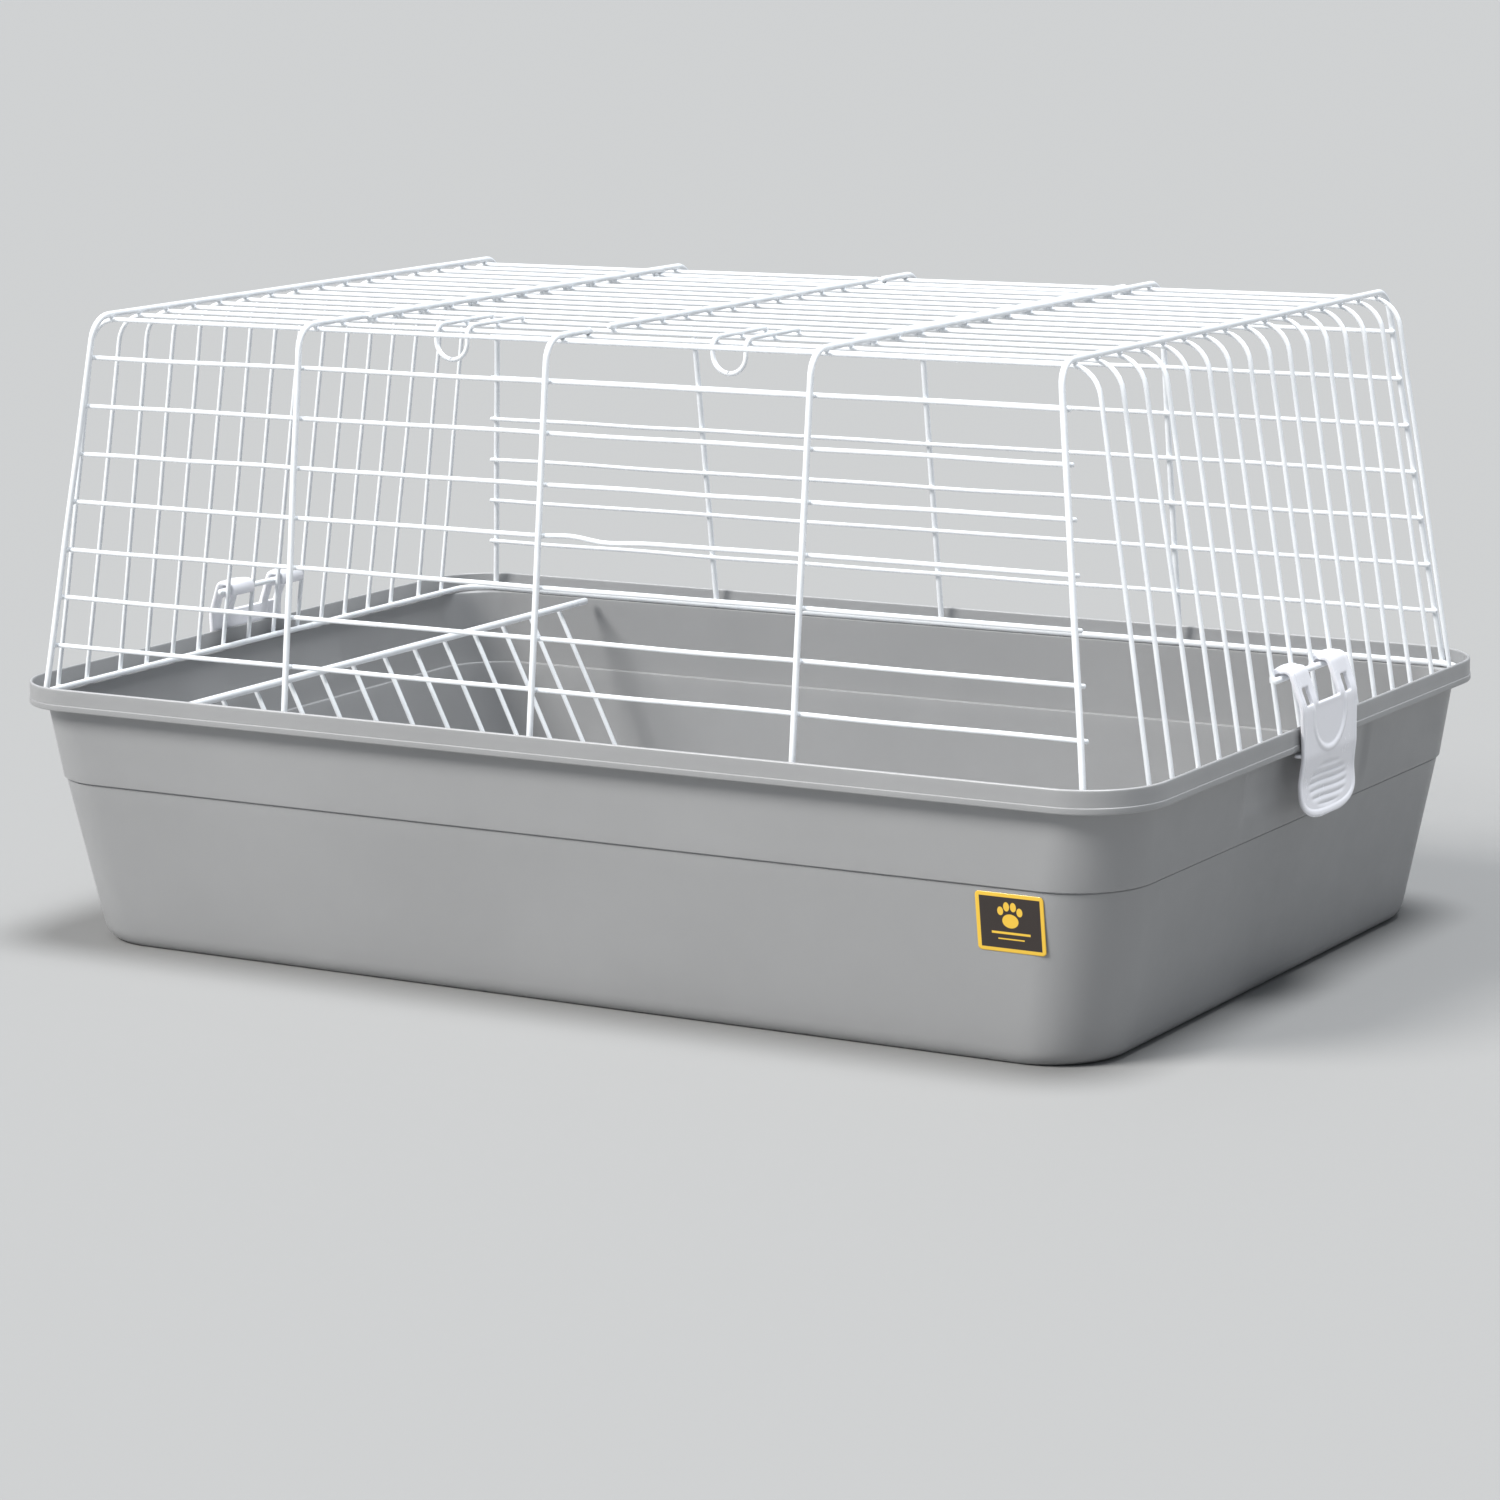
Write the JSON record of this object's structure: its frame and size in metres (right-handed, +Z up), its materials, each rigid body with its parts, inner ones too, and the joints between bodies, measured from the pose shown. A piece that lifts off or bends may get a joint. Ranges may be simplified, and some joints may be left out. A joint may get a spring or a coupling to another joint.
{
  "type": "rabbit hutch",
  "caption": "Rabbit hutch: deep rounded plastic tub with an arched wire top, a hinged top door, two end latches and a hay rack.",
  "frame": {"origin": "on the floor under the middle of the tub", "axes": "+X along the hutch to its right end, +Y from the front to the back, +Z up"},
  "size_m": [0.8198, 0.534, 0.4089],
  "materials": {
    "tub_plastic": "satin warm grey moulding",
    "white_wire": "gloss white powder coat on steel wire",
    "latch_plastic": "gloss white moulding",
    "label_film": "printed film"
  },
  "bodies": {
    "hutch": {"bay_hoop_left": "white_wire", "bay_hoop_right": "white_wire", "end_hoop_left": "white_wire", "end_hoop_right": "white_wire", "foot_ring": "white_wire", "front_rail_1": "white_wire", "front_rail_2": "white_wire", "front_rail_3": "white_wire", "front_rail_4": "white_wire", "front_rail_5": "white_wire", "front_rail_6": "white_wire", "front_rail_7": "white_wire", "label": "label_film", "latch_bar_left": "white_wire", "latch_bar_right": "white_wire", "middle_hoop_front": "white_wire", "middle_hoop_rear": "white_wire", "rear_rail_1": "white_wire", "rear_rail_2": "white_wire", "rear_rail_3": "white_wire", "rear_rail_4": "white_wire", "rear_rail_5": "white_wire", "rear_rail_6": "white_wire", "rear_rail_7": "white_wire", "top_wire_01": "white_wire", "top_wire_02": "white_wire", "top_wire_03": "white_wire", "top_wire_04": "white_wire", "top_wire_05": "white_wire", "top_wire_06": "white_wire", "top_wire_07": "white_wire", "top_wire_08": "white_wire", "top_wire_09": "white_wire", "top_wire_10": "white_wire", "top_wire_11": "white_wire", "top_wire_12": "white_wire", "top_wire_13": "white_wire", "top_wire_14": "white_wire", "top_wire_15": "white_wire", "top_wire_16": "white_wire", "tub": "tub_plastic"},
    "door": {"door_rod_left": "white_wire", "door_rod_right": "white_wire", "door_rod_middle": "white_wire", "door_wires": "white_wire", "catch_loop_left": "white_wire", "catch_loop_right": "white_wire"},
    "latch_left": {"latch_left": "latch_plastic"},
    "latch_right": {"latch_right": "latch_plastic"},
    "hay_rack": {"rack_top_rod": "white_wire", "rack_foot_rod": "white_wire", "rack_wires": "white_wire"}
  },
  "joints": [
    {"name": "door_hinge", "type": "hinge", "parent": "hutch", "child": "door", "pos_m": [0, 0.18291, 0.403], "axis": [-1, 0, 0], "range_deg": [0, 105]},
    {"name": "latch_left_swing", "type": "hinge", "parent": "hutch", "child": "latch_left", "pos_m": [-0.39373, 0, 0.1995], "axis": [0, 1, 0], "range_deg": [0, 45]},
    {"name": "latch_right_swing", "type": "hinge", "parent": "hutch", "child": "latch_right", "pos_m": [0.39373, 0, 0.1995], "axis": [0, -1, 0], "range_deg": [0, 45]},
    {"name": "hay_rack_lift", "type": "slide", "parent": "hutch", "child": "hay_rack", "axis": [0, 0, 1], "range_m": [0, 0.05]}
  ]
}
